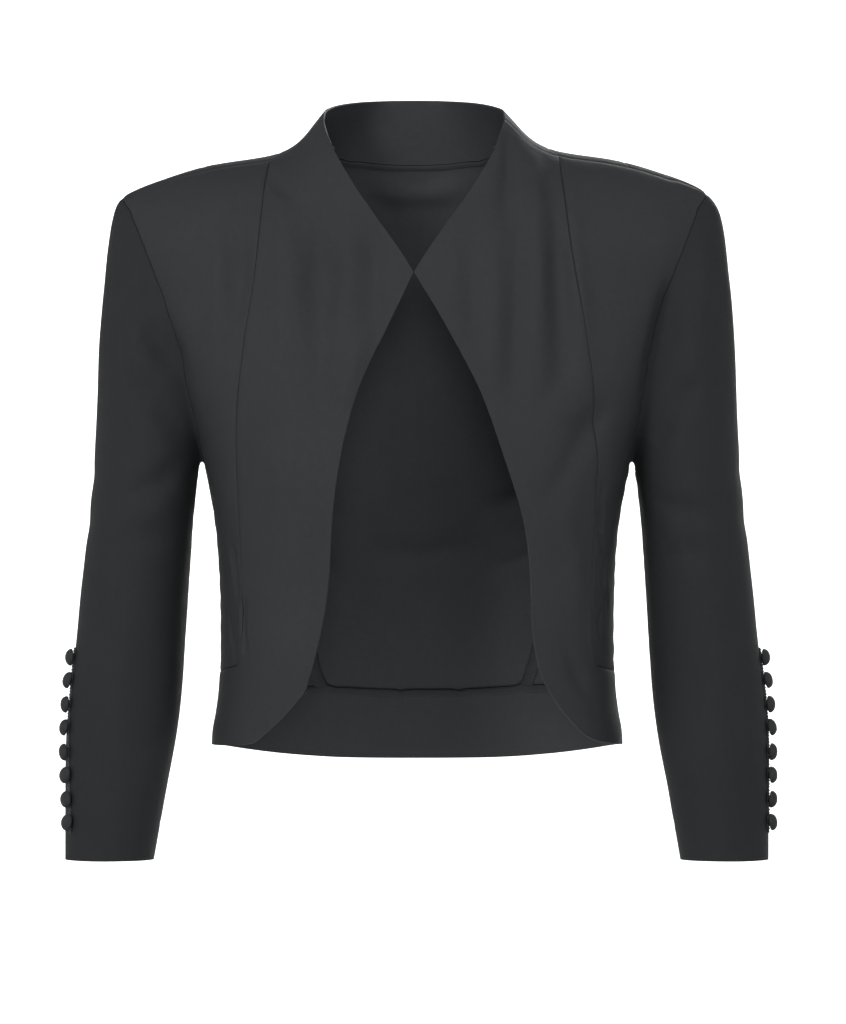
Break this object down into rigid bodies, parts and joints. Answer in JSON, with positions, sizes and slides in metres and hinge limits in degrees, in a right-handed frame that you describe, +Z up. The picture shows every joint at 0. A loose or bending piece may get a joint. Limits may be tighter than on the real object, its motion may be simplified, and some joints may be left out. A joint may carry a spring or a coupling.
{
  "type": "bolero jacket",
  "caption": "Cropped open-front jacket with a stand collar grown onto curved fronts, princess seams, set-in long sleeves and covered cuff buttons.",
  "frame": {"origin": "midway between the neck points of the two shoulder seams, where the jacket is held up", "axes": "+X to the wearer's left, +Y to the back, +Z up; the sleeves hang down"},
  "size_m": [0.4893, 0.2136, 0.5207],
  "materials": {
    "front_right": "matte crepe suiting, near black",
    "side_front_right": "matte crepe suiting, near black",
    "side_back_right": "matte crepe suiting, near black",
    "sleeve_right": "matte crepe suiting, near black",
    "front_left": "matte crepe suiting, near black",
    "side_front_left": "matte crepe suiting, near black",
    "side_back_left": "matte crepe suiting, near black",
    "sleeve_left": "matte crepe suiting, near black",
    "back_centre": "matte crepe suiting, near black",
    "hem_band": "matte crepe suiting, near black",
    "collar_back": "matte crepe suiting, near black",
    "button_right_1": "cloth-covered dome button, near black",
    "button_right_2": "cloth-covered dome button, near black",
    "button_right_3": "cloth-covered dome button, near black",
    "button_right_4": "cloth-covered dome button, near black",
    "button_right_5": "cloth-covered dome button, near black",
    "button_right_6": "cloth-covered dome button, near black",
    "button_right_7": "cloth-covered dome button, near black",
    "button_right_8": "cloth-covered dome button, near black",
    "button_left_1": "cloth-covered dome button, near black",
    "button_left_2": "cloth-covered dome button, near black",
    "button_left_3": "cloth-covered dome button, near black",
    "button_left_4": "cloth-covered dome button, near black",
    "button_left_5": "cloth-covered dome button, near black",
    "button_left_6": "cloth-covered dome button, near black",
    "button_left_7": "cloth-covered dome button, near black",
    "button_left_8": "cloth-covered dome button, near black"
  },
  "bodies": {
    "root": {"front_right": "front_right", "side_front_right": "side_front_right", "side_back_right": "side_back_right", "sleeve_right": "sleeve_right", "front_left": "front_left", "side_front_left": "side_front_left", "side_back_left": "side_back_left", "sleeve_left": "sleeve_left", "back_centre": "back_centre", "hem_band": "hem_band", "collar_back": "collar_back", "button_right_1": "button_right_1", "button_right_2": "button_right_2", "button_right_3": "button_right_3", "button_right_4": "button_right_4", "button_right_5": "button_right_5", "button_right_6": "button_right_6", "button_right_7": "button_right_7", "button_right_8": "button_right_8", "button_left_1": "button_left_1", "button_left_2": "button_left_2", "button_left_3": "button_left_3", "button_left_4": "button_left_4", "button_left_5": "button_left_5", "button_left_6": "button_left_6", "button_left_7": "button_left_7", "button_left_8": "button_left_8"}
  },
  "joints": []
}
